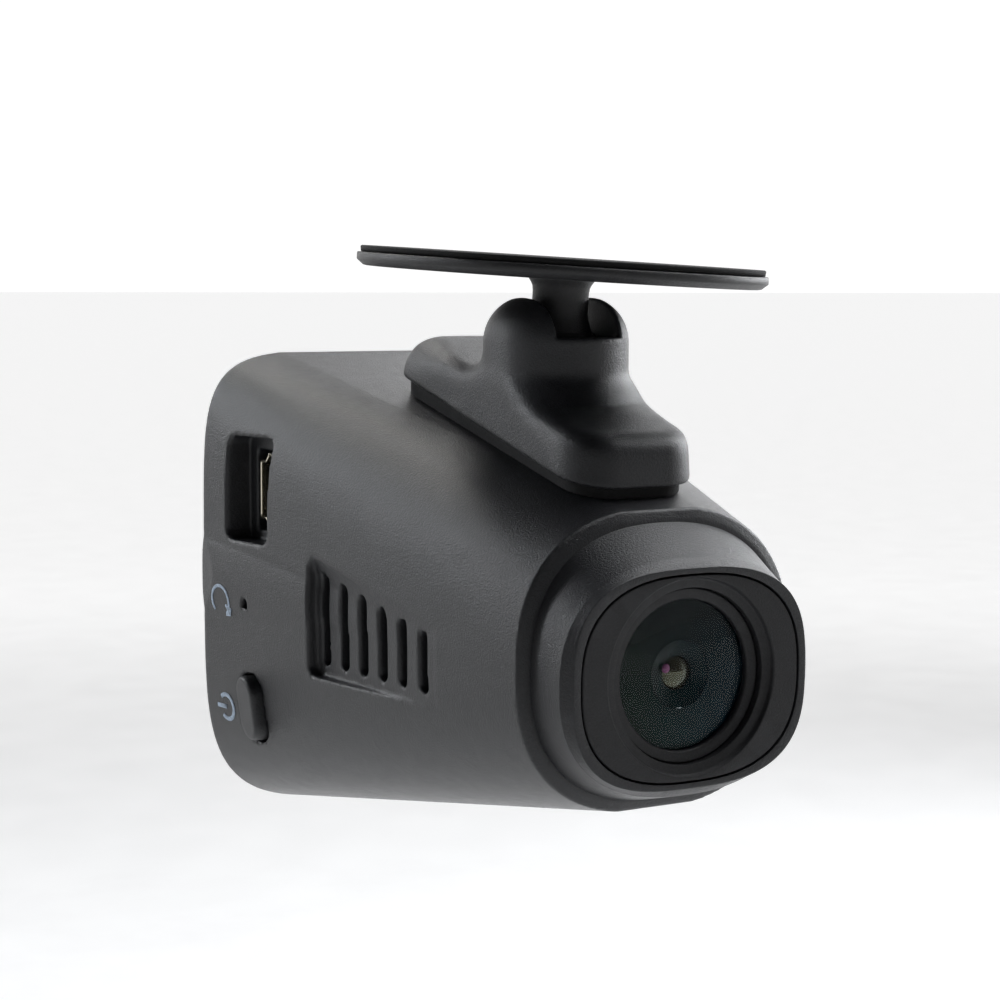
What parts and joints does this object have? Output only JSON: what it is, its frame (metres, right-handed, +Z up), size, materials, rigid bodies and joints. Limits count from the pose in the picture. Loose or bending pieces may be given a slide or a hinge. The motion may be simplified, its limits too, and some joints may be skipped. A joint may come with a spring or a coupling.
{
  "type": "dash camera",
  "caption": "Windscreen dash camera: tapered housing with a round lens collar in front, side socket and key, hung from a ball-jointed adhesive plate.",
  "frame": {"origin": "centre of the adhesive face on top of the mount plate", "axes": "the lens looks along -Y, +Z is up out of the housing top, +X is to the right seen from in front of the lens"},
  "size_m": [0.0443, 0.0587, 0.0592],
  "materials": {
    "housing_plastic": "fine spark-eroded grain",
    "ring_plastic": "fine grain",
    "black_plastic": "plain",
    "coated_glass": "polished with a coating",
    "filter_glass": "polished",
    "sensor_silicon": "polished",
    "circuit_board": "lacquered",
    "flex_film": "smooth film",
    "tinned_steel": "tinned",
    "heat_rubber": "soft",
    "socket_metal": "nickel plated",
    "key_plastic": "fine grain",
    "switch_plastic": "plain",
    "window_glass": "polished",
    "display_glass": "polished",
    "cell_foil": "foil",
    "foot_plastic": "fine spark-eroded grain",
    "pad_rubber": "soft foam",
    "screw_steel": "plated",
    "seat_nylon": "smooth",
    "plate_plastic": "fine grain"
  },
  "bodies": {
    "plate": {"ball_stem": "plate_plastic", "mount_plate": "plate_plastic", "adhesive_pad": "pad_rubber"},
    "upper_seat": {"seat_ring": "seat_nylon"},
    "lower_seat": {"ball_seat": "seat_nylon"},
    "camera": {"front_shell": "housing_plastic", "rear_cover": "housing_plastic", "snout_collar": "housing_plastic", "front_ring": "ring_plastic", "lens_retainer": "ring_plastic", "front_lens": "coated_glass", "lens_barrel": "black_plastic", "middle_lens": "coated_glass", "rear_lens": "coated_glass", "lens_holder": "black_plastic", "ir_filter": "filter_glass", "image_sensor": "sensor_silicon", "sensor_board": "circuit_board", "sensor_flex": "flex_film", "main_board": "circuit_board", "shield_can": "tinned_steel", "heat_pad": "heat_rubber", "usb_shell": "socket_metal", "usb_tongue": "black_plastic", "card_socket": "tinned_steel", "power_switch": "switch_plastic", "reset_switch": "switch_plastic", "display_window": "window_glass", "display_panel": "display_glass", "display_frame": "switch_plastic", "key_board": "circuit_board", "key_switches": "tinned_steel", "battery": "cell_foil", "speaker": "black_plastic", "microphone": "tinned_steel", "dust_mesh": "black_plastic", "mount_foot": "foot_plastic", "foot_gasket": "pad_rubber", "socket_plug": "screw_steel", "pressure_spring": "screw_steel", "case_screws": "screw_steel", "board_screws": "screw_steel", "sensor_screws": "screw_steel", "foot_screws": "screw_steel"},
    "power_button": {"power_button": "key_plastic"},
    "reset_plunger": {"reset_plunger": "black_plastic"},
    "memory_card": {"memory_card": "black_plastic"},
    "rear_key_1": {"rear_key_1": "key_plastic"},
    "rear_key_2": {"rear_key_2": "key_plastic"},
    "rear_key_3": {"rear_key_3": "key_plastic"},
    "rear_key_4": {"rear_key_4": "key_plastic"}
  },
  "joints": [
    {"name": "plate_spin", "type": "hinge", "parent": "plate", "child": "upper_seat", "pos_m": [-0.00046, 0.00046, -0.01058], "axis": [0.0436, -0.0436, 0.9981], "continuous": true},
    {"name": "head_roll", "type": "hinge", "parent": "upper_seat", "child": "lower_seat", "pos_m": [-0.00046, 0.00046, -0.01058], "axis": [0, 0.999, 0.0436], "range_deg": [-2.5, 7]},
    {"name": "head_pitch", "type": "hinge", "parent": "lower_seat", "child": "camera", "pos_m": [-0.00046, 0.00046, -0.01058], "axis": [1, 0, 0], "range_deg": [-20, 15]},
    {"name": "power_press", "type": "slide", "parent": "camera", "child": "power_button", "axis": [1, 0, 0], "range_m": [0, 0.0004], "stiffness_N_per_m": 1000},
    {"name": "reset_press", "type": "slide", "parent": "camera", "child": "reset_plunger", "axis": [1, 0, 0], "range_m": [0, 0.00025], "stiffness_N_per_m": 1000},
    {"name": "card_slide", "type": "slide", "parent": "camera", "child": "memory_card", "axis": [1, 0, 0], "range_m": [0, 0.018]},
    {"name": "key_1_press", "type": "slide", "parent": "camera", "child": "rear_key_1", "axis": [0, -1, 0], "range_m": [0, 0.0004], "stiffness_N_per_m": 1000},
    {"name": "key_2_press", "type": "slide", "parent": "camera", "child": "rear_key_2", "axis": [0, -1, 0], "range_m": [0, 0.0004], "stiffness_N_per_m": 1000},
    {"name": "key_3_press", "type": "slide", "parent": "camera", "child": "rear_key_3", "axis": [0, -1, 0], "range_m": [0, 0.0004], "stiffness_N_per_m": 1000},
    {"name": "key_4_press", "type": "slide", "parent": "camera", "child": "rear_key_4", "axis": [0, -1, 0], "range_m": [0, 0.0004], "stiffness_N_per_m": 1000}
  ]
}
